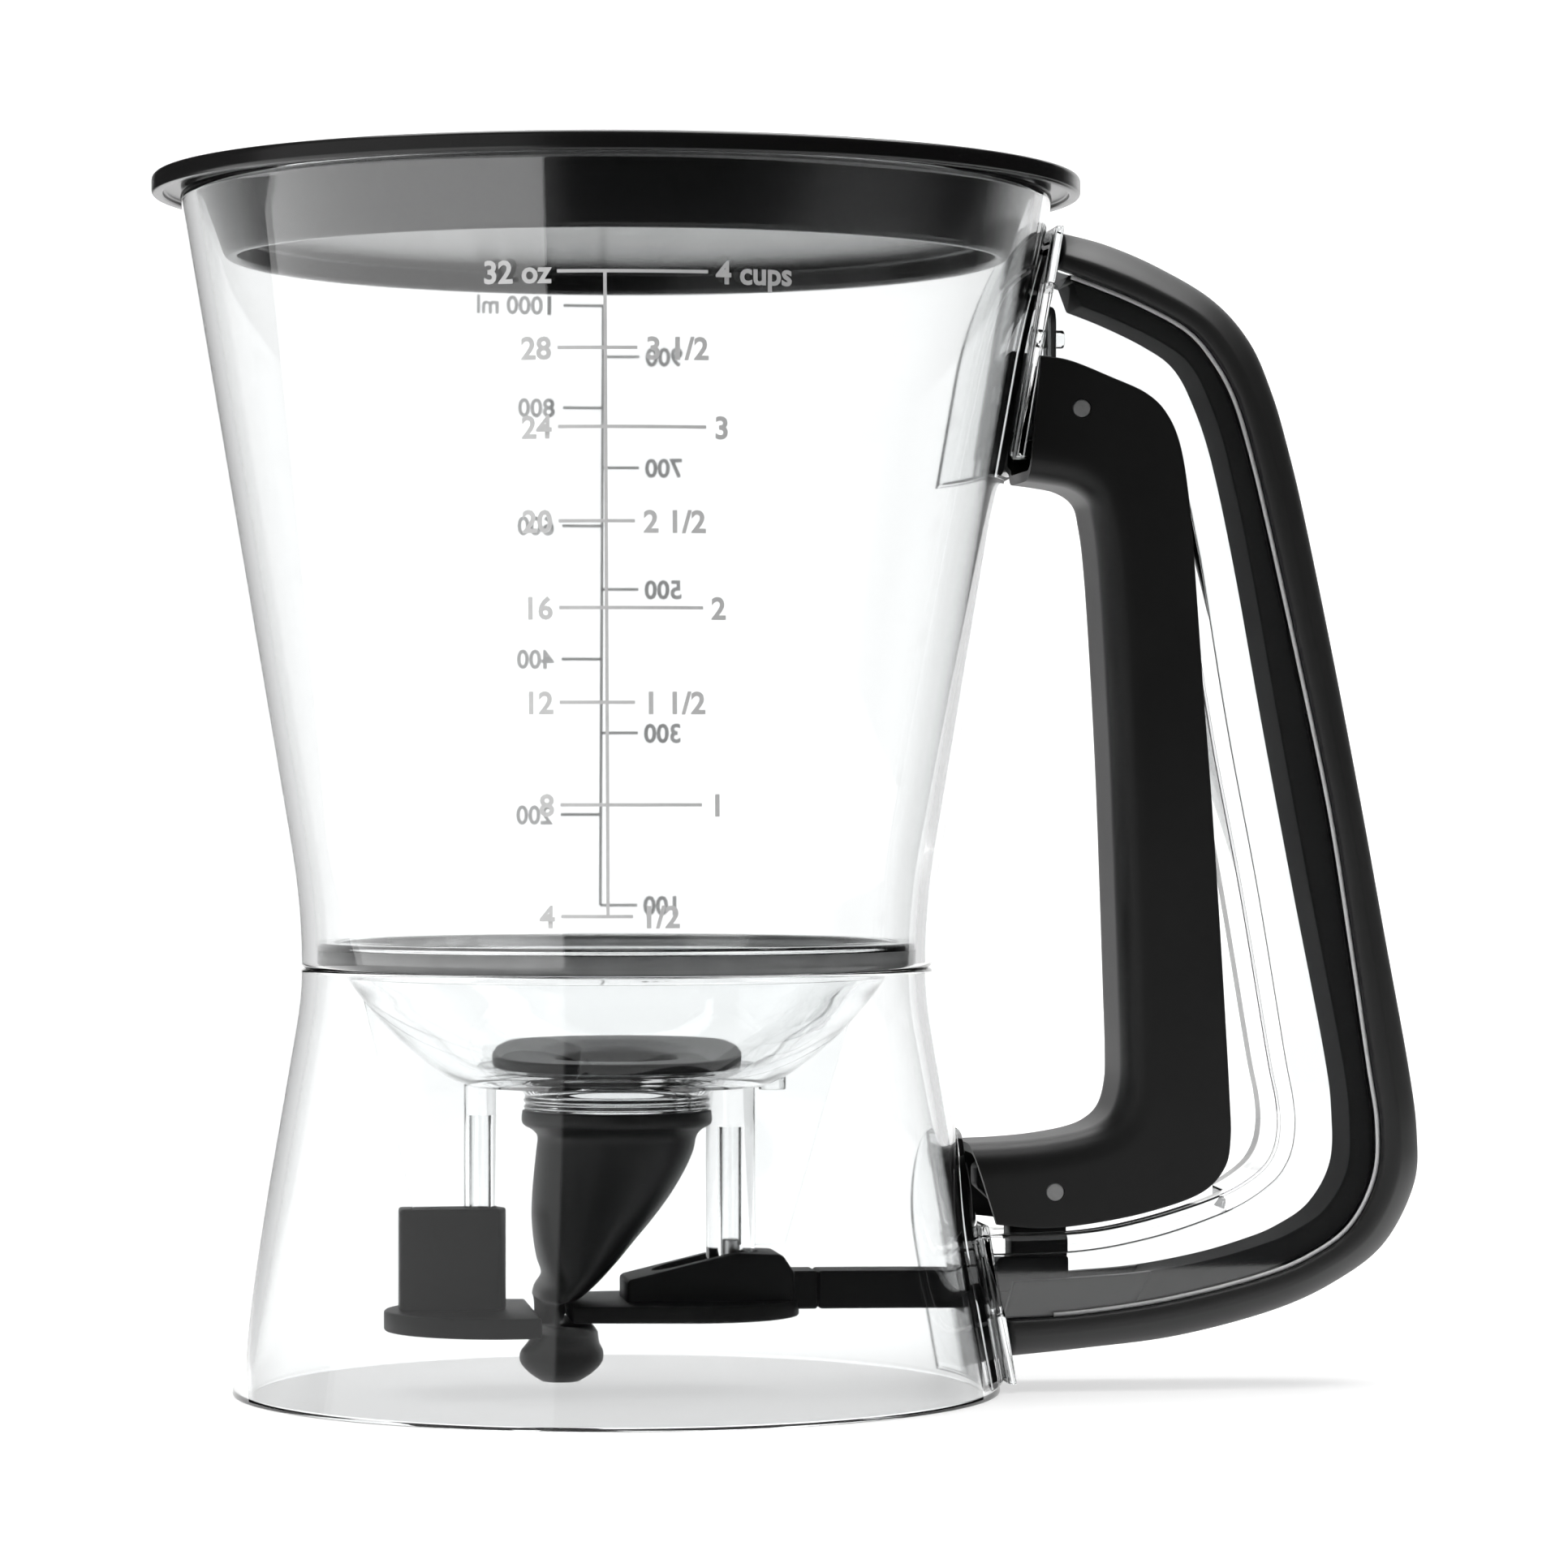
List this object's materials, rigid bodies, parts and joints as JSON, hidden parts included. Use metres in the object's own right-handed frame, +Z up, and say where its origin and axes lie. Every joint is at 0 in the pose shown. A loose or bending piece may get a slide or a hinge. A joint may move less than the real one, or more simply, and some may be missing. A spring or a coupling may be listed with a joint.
{
  "type": "batter dispenser",
  "caption": "Clear batter dispenser with a lift-off lid, a pinch valve under its funnel and a handle whose trigger opens the valve.",
  "frame": {"origin": "on the vessel's axis, in the plane of the base rim", "axes": "+Z up along the vessel's axis, +X towards the handle, +Y towards the far side when the handle is on the right"},
  "size_m": [0.1945, 0.141, 0.1842],
  "materials": {
    "clear_plastic": "clear, polished",
    "black_plastic": "satin",
    "soft_grip": "matt",
    "silicone": "satin",
    "steel": "satin",
    "lid_plastic": "satin"
  },
  "bodies": {
    "dispenser": {"vessel": "clear_plastic", "base_skirt": "clear_plastic", "funnel": "clear_plastic", "handle_frame": "clear_plastic", "handle_grip": "soft_grip", "pivot_pin": "steel", "return_spring": "steel", "fixed_jaw": "black_plastic", "bracket_screw": "steel", "guide_screw": "steel", "valve_sleeve": "silicone"},
    "trigger": {"trigger": "black_plastic", "link_pin": "steel"},
    "slider": {"moving_jaw": "black_plastic", "pull_bar": "black_plastic"},
    "lid": {"lid": "lid_plastic"}
  },
  "joints": [
    {"name": "trigger_pivot", "type": "hinge", "parent": "dispenser", "child": "trigger", "pos_m": [0.0698, 0, 0.1493], "axis": [0, -1, 0], "range_deg": [0, 3.8], "stiffness_Nm_per_rad": 2, "springref_deg": -8.59, "deforming": ["return_spring"]},
    {"name": "jaw_slide", "type": "slide", "parent": "dispenser", "child": "slider", "axis": [1, 0, 0], "range_m": [0, 0.0079], "deforming": ["valve_sleeve"]},
    {"name": "lid_lift", "type": "slide", "parent": "dispenser", "child": "lid", "axis": [0, 0, 1], "range_m": [0, 0.04]}
  ],
  "couplings": [
    {"joint": "jaw_slide", "follows": "trigger_pivot", "m_per_rad": 0.1189}
  ]
}
